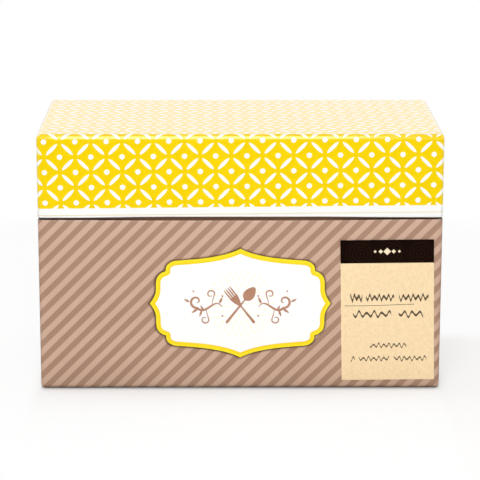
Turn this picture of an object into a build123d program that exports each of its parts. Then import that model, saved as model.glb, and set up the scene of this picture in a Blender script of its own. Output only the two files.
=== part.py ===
"""A hinged paper-covered recipe box with a neck, a title plaque, a label and tabbed dividers.

Millimetres. The origin is the middle of the footprint on the table, +Z is up and
the front faces -Y. Every sheet of board, card and paper is a solid of its own.
"""

from build123d import *
from math import cos, radians, sin
import os

os.makedirs("parts", exist_ok=True)

# Outside of the closed box
box_width = 180.0
box_depth = 90.0
base_height = 78.2
lid_height = 36.9
seam_gap = 1.7
edge_radius = 2.0

# Board, card and paper thicknesses, and the glue line between two glued sheets
base_board_thickness = 2.5
lid_board_thickness = 1.5
neck_thickness = 1.0
wrap_thickness = 0.2
lining_thickness = 0.2
mat_thickness = 0.3
bottom_sheet_thickness = 0.2
glue = 0.05

# How far the wraps are turned in over the rims and under the floor
rim_turn_in = 15.0
floor_turn_in = 12.0
bottom_sheet_margin = 3.0

# Neck that stands up inside the lid, its sides cut down towards the hinge
neck_rise = 12.0
neck_slope_run = 24.0
neck_fold_radius = 0.8
liner_rest_gap = 0.05

# Paper hinge along the back
hinge_strip_thickness = 0.25
hinge_leaf_height = 12.0
hinge_end_margin = 3.0
hinge_axis_clearance = 0.1

# Die-cut plaque in the middle of the front
plaque_width = 81.0
plaque_height = 50.4
plaque_thickness = 0.5
plaque_centre_height = 40.2

# Paper label stuck on by hand, a little crooked, between the plaque and the right edge
label_plaque_gap = 4.6
label_side_margin = 3.2
label_height = 65.0
label_thickness = 0.15
label_centre_height = 36.9
label_turn = 0.9

# Tabbed dividers that stand at the back of the box
divider_count = 8
divider_width = 158.0
divider_height = 98.0
divider_thickness = 0.5
divider_corner_radius = 3.0
divider_spacing = 0.9
divider_lean = 4.0
divider_floor_clearance = 0.3
divider_lid_clearance = 0.6
tab_width = 30.0
tab_height = 9.0
tab_flare = 2.5
tab_corner_radius = 2.0
tab_edge_margin = 5.0

# The box is centred between the plaque's face and the hinge strip's face
front_proud = glue + plaque_thickness
back_proud = glue + hinge_strip_thickness
centre_y = (front_proud - back_proud) / 2
front_y = centre_y - box_depth / 2
back_y = centre_y + box_depth / 2

# Distances of the layers from the outside of the box, inwards
board_inset = wrap_thickness + glue
base_turn_inset = board_inset + base_board_thickness + glue
base_inner_inset = base_turn_inset + wrap_thickness
neck_inset = base_inner_inset + glue
neck_inner_inset = neck_inset + neck_thickness
lid_turn_inset = board_inset + lid_board_thickness + glue
lid_inner_inset = lid_turn_inset + wrap_thickness
liner_inset = lid_inner_inset + glue

# Heights of the layers from the table up
base_wrap_low = bottom_sheet_thickness + glue
base_board_low = base_wrap_low + board_inset
floor_level = base_board_low + base_board_thickness
base_board_top = base_height - board_inset
neck_top = base_height + neck_rise
lid_low = base_height + seam_gap
box_height = lid_low + lid_height
lid_board_low = lid_low + board_inset
lid_board_top = box_height - board_inset
ceiling_level = lid_board_top - lid_board_thickness

# Inner faces of the back lining, in the base and in the lid
base_lining_y = back_y - base_inner_inset - glue - lining_thickness
lid_lining_y = back_y - lid_inner_inset - glue - lining_thickness
strip_face_y = back_y + glue + hinge_strip_thickness
lining_overlap = glue + lining_thickness

# Axis of the paper hinge, just outside the strip and halfway up the seam
hinge_axis_y = strip_face_y + hinge_axis_clearance
hinge_axis_z = base_height + seam_gap / 2


def level(height):
    """The horizontal plane at a height, over the middle of the box."""
    return Plane((0, centre_y, height))


def block(inset, low, high, radius=0.0, rounded_end=None):
    """A block inset from the box's outline, with round upright edges and one round end."""
    with BuildPart() as body:
        with BuildSketch(level(low)):
            Rectangle(box_width - 2 * inset, box_depth - 2 * inset)
        extrude(amount=high - low)
        if radius > 0:
            fillet(body.edges().filter_by(Axis.Z), radius)
        if rounded_end is not None:
            fillet(body.faces().sort_by(Axis.Z)[rounded_end].edges(), radius)
    return body.part


def turned_in(rim, away, turn_inset, inner_inset):
    """The paper that goes over a wall's rim and down its inner side."""
    inner_size = (box_width - 2 * inner_inset, box_depth - 2 * inner_inset)
    with BuildPart() as fold:
        with BuildSketch(level(rim)):
            RectangleRounded(box_width, box_depth, edge_radius)
            Rectangle(*inner_size, mode=Mode.SUBTRACT)
        extrude(amount=away * wrap_thickness)
        with BuildSketch(level(rim)):
            Rectangle(box_width - 2 * turn_inset, box_depth - 2 * turn_inset)
            Rectangle(*inner_size, mode=Mode.SUBTRACT)
        extrude(amount=away * rim_turn_in)
    return fold.part


def folded_strip(inset, thickness, back_face, low, high):
    """A strip of card folded round the front and the two sides, open at the back."""
    width = box_width - 2 * inset
    run = back_face - front_y - inset
    middle_y = back_face - run / 2
    with BuildPart() as strip:
        with BuildSketch(Plane((0, middle_y, low))):
            Rectangle(width, run)
        extrude(amount=high - low)
        fillet(strip.edges().filter_by(Axis.Z).group_by(Axis.Y)[0], neck_fold_radius)
        with BuildSketch(Plane((0, middle_y + thickness, low))):
            Rectangle(width - 2 * thickness, run)
        extrude(amount=high - low, mode=Mode.SUBTRACT)
    return strip.part


# Base tray: floor and four walls of greyboard
outer = block(
    board_inset, base_board_low, base_board_top, edge_radius - board_inset, rounded_end=0
)
with BuildPart() as base_board:
    add(outer)
    with BuildSketch(level(floor_level)):
        wall = 2 * (board_inset + base_board_thickness)
        Rectangle(box_width - wall, box_depth - wall)
    extrude(amount=base_height, mode=Mode.SUBTRACT)
base_board.part.label = "base_board"
export_step(base_board.part, "parts/base_board.step")

# Striped wrap of the base, turned in over the rim and under the floor
outer = block(0, base_wrap_low, base_height, edge_radius, rounded_end=0)
core = block(
    wrap_thickness,
    base_wrap_low + wrap_thickness,
    base_height,
    edge_radius - wrap_thickness,
    rounded_end=0,
)
fold = turned_in(base_height, -1, base_turn_inset, base_inner_inset)
with BuildPart() as base_wrap:
    add(outer)
    add(core, mode=Mode.SUBTRACT)
    with BuildSketch(level(base_wrap_low)):
        Rectangle(box_width - 2 * floor_turn_in, box_depth - 2 * floor_turn_in)
    extrude(amount=wrap_thickness, mode=Mode.SUBTRACT)
    add(fold)
base_wrap.part.label = "base_wrap"
export_step(base_wrap.part, "parts/base_wrap.step")

# Plain sheet under the floor, over the turned-in edges of the wrap
with BuildPart() as base_bottom_sheet:
    with BuildSketch(level(0)):
        margin = 2 * (edge_radius + bottom_sheet_margin)
        Rectangle(box_width - margin, box_depth - margin)
    extrude(amount=bottom_sheet_thickness)
base_bottom_sheet.part.label = "base_bottom_sheet"
export_step(base_bottom_sheet.part, "parts/base_bottom_sheet.step")

# Neck: a folded strip of brown card glued inside the base that the lid closes over
strip = folded_strip(
    neck_inset, neck_thickness, base_lining_y - glue, floor_level + glue, neck_top
)
with BuildPart() as neck:
    add(strip)
    with BuildSketch(Plane.YZ.offset(-box_width / 2)):
        with BuildLine():
            Polyline(
                (base_lining_y, base_height),
                (base_lining_y, neck_top),
                (base_lining_y - neck_slope_run, neck_top),
                close=True,
            )
        make_face()
    extrude(amount=box_width, mode=Mode.SUBTRACT)
neck.part.label = "neck"
export_step(neck.part, "parts/neck.step")

# Floor mat: a white sheet that lies inside the neck
with BuildPart() as floor_mat:
    mat_front = front_y + neck_inner_inset + glue
    mat_back = base_lining_y - glue
    with BuildSketch(Plane((0, (mat_front + mat_back) / 2, floor_level + glue))):
        Rectangle(box_width - 2 * (neck_inner_inset + glue), mat_back - mat_front)
    extrude(amount=mat_thickness)
floor_mat.part.label = "floor_mat"
export_step(floor_mat.part, "parts/floor_mat.step")

# Lid tray: top and four walls of thinner greyboard
outer = block(
    board_inset, lid_board_low, lid_board_top, edge_radius - board_inset, rounded_end=-1
)
with BuildPart() as lid_board:
    add(outer)
    with BuildSketch(level(ceiling_level)):
        wall = 2 * (board_inset + lid_board_thickness)
        Rectangle(box_width - wall, box_depth - wall)
    extrude(amount=-lid_height, mode=Mode.SUBTRACT)
lid_board.part.label = "lid_board"
export_step(lid_board.part, "parts/lid_board.step")

# Yellow wrap of the lid, turned in round its lower edge
outer = block(0, lid_low, box_height, edge_radius, rounded_end=-1)
core = block(
    wrap_thickness,
    lid_low,
    box_height - wrap_thickness,
    edge_radius - wrap_thickness,
    rounded_end=-1,
)
fold = turned_in(lid_low, 1, lid_turn_inset, lid_inner_inset)
with BuildPart() as lid_wrap:
    add(outer)
    add(core, mode=Mode.SUBTRACT)
    add(fold)
lid_wrap.part.label = "lid_wrap"
export_step(lid_wrap.part, "parts/lid_wrap.step")

# White liner of the lid, whose lower edge rests on the neck and holds the seam open
strip = folded_strip(
    liner_inset,
    neck_inner_inset - liner_inset,
    lid_lining_y - glue,
    neck_top + liner_rest_gap,
    ceiling_level - glue,
)
with BuildPart() as lid_liner:
    add(strip)
lid_liner.part.label = "lid_liner"
export_step(lid_liner.part, "parts/lid_liner.step")

# Ceiling sheet: white lining under the top of the lid
with BuildPart() as ceiling_sheet:
    sheet_front = front_y + neck_inner_inset + glue
    sheet_back = lid_lining_y - glue
    with BuildSketch(Plane((0, (sheet_front + sheet_back) / 2, ceiling_level - glue))):
        Rectangle(box_width - 2 * (neck_inner_inset + glue), sheet_back - sheet_front)
    extrude(amount=-mat_thickness)
ceiling_sheet.part.label = "ceiling_sheet"
export_step(ceiling_sheet.part, "parts/ceiling_sheet.step")

# Inner hinge lining, base half: up the back wall and out over the rim
lining_width = box_width - 2 * neck_inset
with BuildPart() as hinge_lining_base:
    with BuildSketch(Plane.YZ.offset(-lining_width / 2)):
        with BuildLine():
            Polyline(
                (base_lining_y, floor_level + glue),
                (base_lining_y + lining_thickness, floor_level + glue),
                (base_lining_y + lining_thickness, base_height + glue),
                (back_y, base_height + glue),
                (back_y, base_height + lining_overlap),
                (base_lining_y, base_height + lining_overlap),
                close=True,
            )
        make_face()
    extrude(amount=lining_width)
hinge_lining_base.part.label = "hinge_lining_base"
export_step(hinge_lining_base.part, "parts/hinge_lining_base.step")

# Inner hinge lining, lid half: in over the lid's lower edge and up to the ceiling
with BuildPart() as hinge_lining_lid:
    with BuildSketch(Plane.YZ.offset(-lining_width / 2)):
        with BuildLine():
            Polyline(
                (lid_lining_y, ceiling_level - glue),
                (lid_lining_y + lining_thickness, ceiling_level - glue),
                (lid_lining_y + lining_thickness, lid_low - glue),
                (back_y, lid_low - glue),
                (back_y, lid_low - lining_overlap),
                (lid_lining_y, lid_low - lining_overlap),
                close=True,
            )
        make_face()
    extrude(amount=lining_width)
hinge_lining_lid.part.label = "hinge_lining_lid"
export_step(hinge_lining_lid.part, "parts/hinge_lining_lid.step")

# Outer hinge strip: one half on the back of the base, one on the back of the lid
strip_width = box_width - 2 * (edge_radius + hinge_end_margin)
base_leaf = Plane(
    (0, strip_face_y, base_height - hinge_leaf_height / 2), x_dir=(1, 0, 0), z_dir=(0, -1, 0)
)
with BuildPart() as hinge_strip_base:
    with BuildSketch(base_leaf):
        Rectangle(strip_width, hinge_leaf_height)
    extrude(amount=hinge_strip_thickness)
hinge_strip_base.part.label = "hinge_strip_base"
export_step(hinge_strip_base.part, "parts/hinge_strip_base.step")

lid_leaf = Plane(
    (0, strip_face_y, lid_low + hinge_leaf_height / 2), x_dir=(1, 0, 0), z_dir=(0, -1, 0)
)
with BuildPart() as hinge_strip_lid:
    with BuildSketch(lid_leaf):
        Rectangle(strip_width, hinge_leaf_height)
    extrude(amount=hinge_strip_thickness)
hinge_strip_lid.part.label = "hinge_strip_lid"
export_step(hinge_strip_lid.part, "parts/hinge_strip_lid.step")

# Die-cut plaque: one quarter of its outline, mirrored to both sides
half_width = plaque_width / 2
half_height = plaque_height / 2
shoulder = (0.69 * half_width, 0.785 * half_height)
notch = (0.822 * half_width, 0.59 * half_height)
flank_x = 0.931 * half_width
flank_top = (flank_x, 0.354 * half_height)
flank_foot = (flank_x, 0.26 * half_height)
plaque_plane = Plane(
    (0, front_y - glue, plaque_centre_height), x_dir=(1, 0, 0), z_dir=(0, -1, 0)
)
with BuildPart() as name_plaque:
    with BuildSketch(plaque_plane):
        with BuildLine():
            Bezier(
                (0, half_height),
                (0.17 * half_width, 0.85 * half_height),
                (0.44 * half_width, 0.811 * half_height),
                shoulder,
            )
            Bezier(
                shoulder,
                (0.77 * half_width, 0.778 * half_height),
                (0.829 * half_width, 0.709 * half_height),
                notch,
            )
            Bezier(
                notch,
                (0.888 * half_width, 0.559 * half_height),
                (flank_x, 0.496 * half_height),
                flank_top,
            )
            Line(flank_top, flank_foot)
            Bezier(
                flank_foot,
                (flank_x, 0.165 * half_height),
                (0.963 * half_width, 0.079 * half_height),
                (half_width, 0),
            )
            Line((half_width, 0), (0, 0))
            Line((0, 0), (0, half_height))
        make_face()
        mirror(about=Plane.YZ)
        mirror(about=Plane.XZ)
    extrude(amount=plaque_thickness)
name_plaque.part.label = "name_plaque"
export_step(name_plaque.part, "parts/name_plaque.step")

# Paper label at the right of the front
tilt = radians(label_turn)
label_left = half_width + label_plaque_gap
label_right = box_width / 2 - label_side_margin
label_plane = Plane(
    ((label_left + label_right) / 2, front_y - glue, label_centre_height),
    x_dir=(cos(tilt), 0, sin(tilt)),
    z_dir=(0, -1, 0),
)
with BuildPart() as front_label:
    with BuildSketch(label_plane):
        Rectangle(label_right - label_left, label_height)
    extrude(amount=label_thickness)
front_label.part.label = "front_label"
export_step(front_label.part, "parts/front_label.step")

# Dividers: leaning back together, each with its tab one step further to the right
lean = radians(divider_lean)
divider_low = floor_level + glue + mat_thickness + divider_floor_clearance
overall_height = divider_height + tab_height
rear_foot_y = (
    lid_lining_y
    - divider_lid_clearance
    - overall_height * sin(lean)
    - divider_thickness / 2 * cos(lean)
)
tab_reach = divider_width / 2 - tab_edge_margin - tab_flare - tab_width / 2
tab_step = 2 * tab_reach / (divider_count - 1)
for number in range(1, divider_count + 1):
    foot_y = rear_foot_y - (divider_count - number) * divider_spacing
    tab_x = -tab_reach + (number - 1) * tab_step
    standing = Plane(
        (0, foot_y, divider_low), x_dir=(1, 0, 0), z_dir=(0, -cos(lean), sin(lean))
    )
    with BuildPart() as divider:
        with BuildSketch(standing):
            with BuildLine():
                Polyline(
                    (-divider_width / 2, 0),
                    (divider_width / 2, 0),
                    (divider_width / 2, divider_height),
                    (tab_x + tab_width / 2 + tab_flare, divider_height),
                    (tab_x + tab_width / 2, overall_height),
                    (tab_x - tab_width / 2, overall_height),
                    (tab_x - tab_width / 2 - tab_flare, divider_height),
                    (-divider_width / 2, divider_height),
                    close=True,
                )
            make_face()
            fillet(vertices().group_by(Axis.Y)[-1], tab_corner_radius)
            shoulders = vertices().group_by(Axis.Y)[1].sort_by(Axis.X)
            fillet([shoulders[0], shoulders[-1]], divider_corner_radius)
        extrude(amount=divider_thickness / 2, both=True)
    divider.part.label = f"divider_{number}"
    export_step(divider.part, f"parts/divider_{number}.step")
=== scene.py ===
import math
from functools import partialmethod

import bmesh
import bpy
from mathutils import Matrix, Vector


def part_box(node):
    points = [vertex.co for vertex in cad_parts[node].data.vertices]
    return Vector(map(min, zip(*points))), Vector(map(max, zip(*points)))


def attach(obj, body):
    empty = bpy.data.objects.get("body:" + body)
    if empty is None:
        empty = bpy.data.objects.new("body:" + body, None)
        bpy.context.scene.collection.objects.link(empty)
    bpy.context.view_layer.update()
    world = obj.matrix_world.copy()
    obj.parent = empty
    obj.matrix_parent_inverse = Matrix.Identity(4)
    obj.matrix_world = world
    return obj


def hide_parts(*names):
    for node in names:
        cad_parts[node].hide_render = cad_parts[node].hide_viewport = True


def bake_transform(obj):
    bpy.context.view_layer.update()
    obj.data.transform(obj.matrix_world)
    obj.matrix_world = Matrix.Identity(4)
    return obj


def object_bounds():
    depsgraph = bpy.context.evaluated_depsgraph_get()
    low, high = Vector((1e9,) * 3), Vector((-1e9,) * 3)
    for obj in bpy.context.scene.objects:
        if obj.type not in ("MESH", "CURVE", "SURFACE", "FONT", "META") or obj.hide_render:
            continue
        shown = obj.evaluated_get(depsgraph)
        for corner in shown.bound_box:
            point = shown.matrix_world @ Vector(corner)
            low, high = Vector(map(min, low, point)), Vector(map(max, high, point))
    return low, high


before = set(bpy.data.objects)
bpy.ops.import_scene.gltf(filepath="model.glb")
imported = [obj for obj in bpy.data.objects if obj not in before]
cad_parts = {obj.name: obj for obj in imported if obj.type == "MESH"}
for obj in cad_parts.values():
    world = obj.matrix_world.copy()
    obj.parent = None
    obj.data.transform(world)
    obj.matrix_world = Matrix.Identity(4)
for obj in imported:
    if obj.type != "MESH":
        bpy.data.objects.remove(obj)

cad_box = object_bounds()

# The camera stands a metre in front of the box and a little above it, and looks at it
# through a long lens, as for a shop picture. Its place comes from the box's own edges.
camera_place = (-0.0087, -0.9622, 0.2940)
camera_pitch = math.radians(13.7615)
camera_yaw = math.radians(0.5318)
camera_roll = math.radians(0.0785)
camera_lens = 159.43
camera_sensor = 36.0
camera = bpy.data.objects.new("camera", bpy.data.cameras.new("camera"))
camera.data.lens = camera_lens
camera.data.sensor_width = camera_sensor
camera.matrix_world = (
    Matrix.Translation(camera_place)
    @ Matrix.Rotation(-camera_yaw, 4, "Z")
    @ Matrix.Rotation(math.pi / 2 - camera_pitch, 4, "X")
    @ Matrix.Rotation(camera_roll, 4, "Z")
)
bpy.context.scene.collection.objects.link(camera)
bpy.context.scene.camera = camera
bpy.context.scene.view_settings.view_transform = "Standard"

# The studio is a table covered in matt white paper, which ends a little in front of the box,
# with one tall softbox that leans over the camera and a weaker panel at each side. The paper
# keeps the box's shadow and turns to plain white away from it.
table_front = -0.4
table_reach = 2.5
table_white = (0.94, 0.935, 0.93)
near_share = 0.9
shadow_share = 0.55
shadow_reach = 0.02
side_lightness = 12.0
right_shade = 0.22
right_band = (-0.001, 0.002)
right_depth = (0.05, 0.03)
contact_shade = 0.55
contact_reach = 0.0002
gap_shade = 0.97
gap_reach = 0.0025
white_band = (0.14, 0.34)

# What glossy paper mirrors: bands of the sky, by the sine of their height, and of the table
mirrored_white = (1.0, 0.95, 1.0, 1.0)
horizon_band, horizon_levels = (-0.06, 0.0), (0.01, 1.0)
bright_band, bright_levels = (0.165, 0.2), (1.13, 1.04)
dimming_band, overhead_gloss = (0.27, 0.42), 0.08
light_band, light_levels = (-0.2, 1.0), (0.45, 0.144)
floor_gloss = 0.02
far_gloss = 0.8
far_band = (0.58, 0.72)
aside_band, aside_far_band = (0.1, 0.13), (0.12, 0.25)


class Signal:
    """What a node's socket gives. A sum written with it adds the Math nodes that do the sum."""

    def __init__(self, socket):
        self.socket = socket
        self.node = socket.node
        self.tree = socket.id_data

    def maths(self, operation, *others):
        return wire(self.tree, "Math", self, *others, operation=operation)

    __add__ = partialmethod(maths, "ADD")
    __sub__ = partialmethod(maths, "SUBTRACT")
    __mul__ = partialmethod(maths, "MULTIPLY")
    __truediv__ = partialmethod(maths, "DIVIDE")
    __pow__ = partialmethod(maths, "POWER")
    __abs__ = partialmethod(maths, "ABSOLUTE")

    def __rsub__(self, other):
        return wire(self.tree, "Math", other, self, operation="SUBTRACT")

    def __rtruediv__(self, other):
        return wire(self.tree, "Math", other, self, operation="DIVIDE")


def plug(value, socket):
    """Gives a socket a link, a plain value, or nothing when the value is None."""
    if isinstance(value, Signal):
        value.tree.links.new(value.socket, socket)
    elif value is not None:
        socket.default_value = value


def feed(node, **inputs):
    """Gives a node's inputs their values, by their names in lower case with _ for a space."""
    sockets = {socket.name.lower().replace(" ", "_"): socket for socket in node.inputs}
    for name, value in inputs.items():
        plug(value, sockets[name])


def wire(tree, kind, *inputs, family="ShaderNode", **settings):
    """Adds a node, sets it up, feeds its inputs in order and returns its first output."""
    made = tree.nodes.new(family + kind)
    for name, value in settings.items():
        setattr(made, name, value)
    for socket, value in zip(made.inputs, inputs):
        plug(value, socket)
    return Signal(made.outputs[0])


def ramped(value, low, high, start=0.0, end=1.0):
    """A value eased from start to end as it goes from low to high."""
    way = {"interpolation_type": "SMOOTHSTEP"}
    return wire(value.tree, "MapRange", value, low, high, start, end, **way)


def choice(share, first, second):
    """A number that goes from the first to the second as the share goes from 0 to 1."""
    return wire(share.tree, "Mix", share, None, first, second)


def mixed(share, first, second):
    """A colour that goes from the first to the second as the share goes from 0 to 1."""
    made = wire(share.tree, "Mix", share, data_type="RGBA").node
    plug(first, made.inputs[6])
    plug(second, made.inputs[7])
    return Signal(made.outputs[2])


def scaled(tree, vector, factor):
    """A colour or a place times a number."""
    return wire(tree, "VectorMath", vector, None, None, factor, operation="SCALE")


def parts(vector):
    """The three parts of a place."""
    split = wire(vector.tree, "SeparateXYZ", vector).node
    return [Signal(output) for output in split.outputs]


def most(first, *others):
    """The greatest of several values."""
    for other in others:
        first = first.maths("MAXIMUM", other)
    return first


def distance(across, along):
    """How far a point is from the origin."""
    return (across**2 + along**2) ** 0.5


def object_place(tree):
    """The point on the object, in metres."""
    return Signal(tree.nodes.new("ShaderNodeTexCoord").outputs["Object"])


def rays(tree, *kinds):
    """1 for rays of the given kinds and 0 for the rest."""
    path = tree.nodes.new("ShaderNodeLightPath")
    return most(*[Signal(path.outputs[f"Is {kind} Ray"]) for kind in kinds])


def shader_tree(name):
    """A new material, its node tree and its Principled shader."""
    made = bpy.data.materials.new(name)
    made.use_nodes = True
    return made, made.node_tree, made.node_tree.nodes["Principled BSDF"]


def shown(name, mesh, *materials, sharp=None, thickness=None):
    """Turns a bmesh into an object of the scene, with its materials, its edges past an angle in
    degrees kept sharp, and a thickness behind the face that shows."""
    made = bpy.data.objects.new(name, bpy.data.meshes.new(name))
    mesh.to_mesh(made.data)
    mesh.free()
    for material in materials:
        made.data.materials.append(material)
    if sharp:
        made.data.set_sharp_from_angle(angle=math.radians(sharp))
    if thickness:
        body = made.modifiers.new("thickness", "SOLIDIFY")
        body.thickness = thickness
        body.offset = -1.0
    bpy.context.scene.collection.objects.link(made)
    return made


world = bpy.data.worlds.new("studio_sky")
world.use_nodes = True
bpy.context.scene.world = world
tree = world.node_tree
climb = parts(Signal(tree.nodes.new("ShaderNodeTexCoord").outputs["Generated"]))[2]
glossy = rays(tree, "Glossy")
low_sky = ramped(climb, *bright_band, *bright_levels)
mirrored_sky = ramped(climb, *dimming_band, low_sky, overhead_gloss)
mirrored_sky = mirrored_sky * ramped(climb, *horizon_band, *horizon_levels)
level = choice(glossy, ramped(climb, *light_band, *light_levels), mirrored_sky)
feed(
    tree.nodes["Background"],
    color=mixed(glossy, (1.0, 1.0, 1.0, 1.0), mirrored_white),
    strength=choice(rays(tree, "Camera", "Transmission"), level, 1.0),
)


def fading(from_box, reach):
    """1 at the box's foot, and less the farther from it."""
    return (from_box / -reach).maths("EXPONENT")


floor_mesh = bmesh.new()
corners = ((-table_reach, table_front), (table_reach, table_front))
corners += ((table_reach, table_reach), (-table_reach, table_reach))
floor_mesh.faces.new([floor_mesh.verts.new((x, y, 0.0)) for x, y in corners])
floor_paper, tree, shader = shader_tree("studio_paper")
right, back, _ = parts(object_place(tree))
glossy = rays(tree, "Glossy")
outside_x = most(abs(right) - cad_box[1].x, 0.0) * side_lightness
outside_y = most(abs(back) - cad_box[1].y, 0.0)
from_box = distance(outside_x, outside_y)
# Painted shade: close to the box's foot the paper is darker for light bounced off it and in
# reflections, which shades the box's lowest edge.
foot_shade = fading(from_box, gap_reach)
nearby = fading(from_box, shadow_reach) * (-near_share * shadow_share) + near_share
right_side = ramped(right, *[cad_box[1].x + past for past in right_band])
nearby = nearby - right_side * ramped(back, *right_depth) * right_shade
nearby = nearby * (1.0 - fading(from_box, contact_reach) * contact_shade)
share = most(nearby, ramped(distance(right, back), *white_band), glossy)
bounce_with_painted_shade = choice(rays(tree, "Diffuse"), 1.0, 1.0 - foot_shade * gap_shade)
feed(shader, base_color=scaled(tree, table_white, bounce_with_painted_shade), roughness=0.9, specular_ior_level=0.0)
aside = ramped(abs(right), *aside_band) * ramped(back, *aside_far_band, 0.0, far_gloss)
mirrored_table = most(ramped(back, *far_band, floor_gloss, far_gloss), aside) * (1.0 - foot_shade)
glow = wire(tree, "Emission")
feed(glow.node, strength=choice(glossy, 1.0, mirrored_table))
share = share * rays(tree, "Camera", "Glossy", "Transmission")
surface = wire(tree, "MixShader", share, Signal(shader.outputs[0]), glow)
plug(surface, tree.nodes["Material Output"].inputs["Surface"])
floor = shown("studio_floor", floor_mesh, floor_paper)


def softbox(name, place, width, height, radiance, in_mirrors=True):
    """A rectangular soft light that faces the middle of the box."""
    light = bpy.data.lights.new(name, "AREA")
    light.shape = "RECTANGLE"
    light.size = width
    light.size_y = height
    light.energy = radiance * math.pi * width * height
    lamp = bpy.data.objects.new(name, light)
    lamp.location = place
    lamp.visible_camera = False
    lamp.visible_glossy = in_mirrors
    aim = (cad_box[0] + cad_box[1]) / 2 - Vector(place)
    lamp.rotation_euler = aim.to_track_quat("-Z", "Y").to_euler()
    bpy.context.scene.collection.objects.link(lamp)


softbox("front_softbox", (-0.04, -0.66, 0.55), 0.3, 1.0, 5.0)
softbox("overhead_panel", (0.0, 0.25, 1.2), 1.0, 0.8, 2.0, in_mirrors=False)
softbox("left_panel", (-1.05, 0.25, 0.5), 0.7, 0.7, 1.6)
softbox("right_panel", (1.05, 0.25, 0.5), 0.7, 0.7, 1.6)

# Base wrap: one cross-shaped sheet of film-laminated art paper, printed in two browns with
# slanting stripes. It is glued round the tray: the front and back go round the corners as
# ears, the sides are stuck over them, and the top is turned in over the rim.
mm = 0.001
quarter_turn = math.pi / 2
edge_radius = 2.0 * mm
edge_tightest = 0.05 * mm
rim_fold_radius = 0.45 * mm
rim_wall = 3.0 * mm
inner_corner_radius = 0.4 * mm
sheet_thickness = 0.12 * mm
turn_in = 15.0 * mm
under_turn = 12.0 * mm
seam_from_corner = 0.9 * mm
corner_steps = 8
front_steps = 16
side_steps = 10
base_rim_wall = 3.0 * mm
front_rise = (0.32, 0.5)
bow_start = 0.35
bow_reach = 0.5
row_slack = 0.1 * mm
stripe_period = 7.195
stripe_start = 4.82
stripe_edge = (0.24, 0.26)
turned_band = (0.3, 0.7)
deep_shade_ends = (0.036, 0.058)
speck_scale = 0.9
speck_edge = (0.45, 0.75)
wear_amount = 0.2
tone_band = (0.3, 0.7)
rough_swing = 0.15


def ink(red, green, blue):
    """A colour written as screen values up to 255, as the shader takes it."""
    share = [value / 255 for value in (red, green, blue)]
    linear = [c / 12.92 if c <= 0.04045 else ((c + 0.055) / 1.055) ** 2.4 for c in share]
    return (*linear, 1.0)


stripe_light = ink(209, 174, 151)
stripe_dark = ink(174, 137, 114)
stripe_worn = ink(226, 205, 190)
# Painted shade: the paper turned in over the base's rim is a darker plain brown, and nearly black
# towards its ends.
rim_painted_shade = ink(168, 130, 102)
rim_painted_deep_shade = ink(38, 18, 9)


def new_group(name, inputs, outputs, family="Shader"):
    """A group of nodes, what comes in by name, and its output node. Most sockets are numbers."""
    kinds = {"Place": "Vector", "Geometry": "Geometry", "Finish": "Material"}
    made = bpy.data.node_groups.new(name, f"{family}NodeTree")
    for way, labels in (("INPUT", inputs), ("OUTPUT", outputs)):
        for label in labels:
            kind = f"NodeSocket{kinds.get(label, 'Float')}"
            made.interface.new_socket(label, in_out=way, socket_type=kind)
    taken = {output.name: Signal(output) for output in made.nodes.new("NodeGroupInput").outputs}
    return made, taken, made.nodes.new("NodeGroupOutput")


def placed(tree, group, **inputs):
    """A group's node in a material, its inputs given by name, and its outputs by name."""
    made = tree.nodes.new("ShaderNodeGroup")
    made.node_tree = group
    feed(made, **inputs)
    return {output.name: Signal(output) for output in made.outputs}


# Paper grain: fine felt marks, longer fibres and a slow cloudiness, in real sizes
labels = ("Place", "Grain", "Clouds")
paper_grain, taken, given = new_group("paper_grain", labels, ("Height", "Tone"))
fibre_stretch = (0.25, 0.5, 2.2)
in_mm = scaled(paper_grain, taken["Place"], 1 / mm)
felt_scale = 1.0 / taken["Grain"]
felt = wire(paper_grain, "TexNoise", in_mm, None, felt_scale, 3.0, 0.6)
stretched = wire(paper_grain, "VectorMath", in_mm, fibre_stretch, operation="MULTIPLY")
fibres = wire(paper_grain, "TexNoise", stretched, None, felt_scale, 2.0)
clouds = wire(paper_grain, "TexNoise", in_mm, None, 1.0 / taken["Clouds"], 2.0)
height = (fibres + felt) * 0.5
feed(given, height=height, tone=(clouds + height) * 0.5)

# Fold wear: where a sheet is creased the ink breaks in specks and the paper shows
fold_wear, taken, given = new_group("fold_wear", ("Place", "Fold", "Amount"), ("Mask",))
in_mm = scaled(fold_wear, taken["Place"], 1 / mm)
specks = wire(fold_wear, "TexNoise", in_mm, None, speck_scale, 4.0, 0.7)
feed(given, mask=ramped(specks, *speck_edge) * taken["Fold"] * taken["Amount"])


def carried(tree, name, output="Fac"):
    """A value that the mesh carries under a name."""
    made = tree.nodes.new("ShaderNodeAttribute")
    made.attribute_name = name
    return Signal(made.outputs[output])


def printed_place(tree, name="print"):
    """The place on the flat sheet before it was wrapped, in millimetres, as two numbers."""
    return parts(wire(tree, "UVMap", uv_map=name))[:2]


def grained(tree, grain, clouds):
    """Paper grain on a piece, its felt marks and clouds as wide as said in millimetres."""
    return placed(tree, paper_grain, place=object_place(tree), grain=grain, clouds=clouds)


def worn(tree, colour, bare):
    """A print whose folds are worn to the bare paper."""
    fold = carried(tree, "fold")
    wear = placed(tree, fold_wear, place=object_place(tree), fold=fold, amount=wear_amount)
    return mixed(wear["Mask"], colour, bare)


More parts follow.
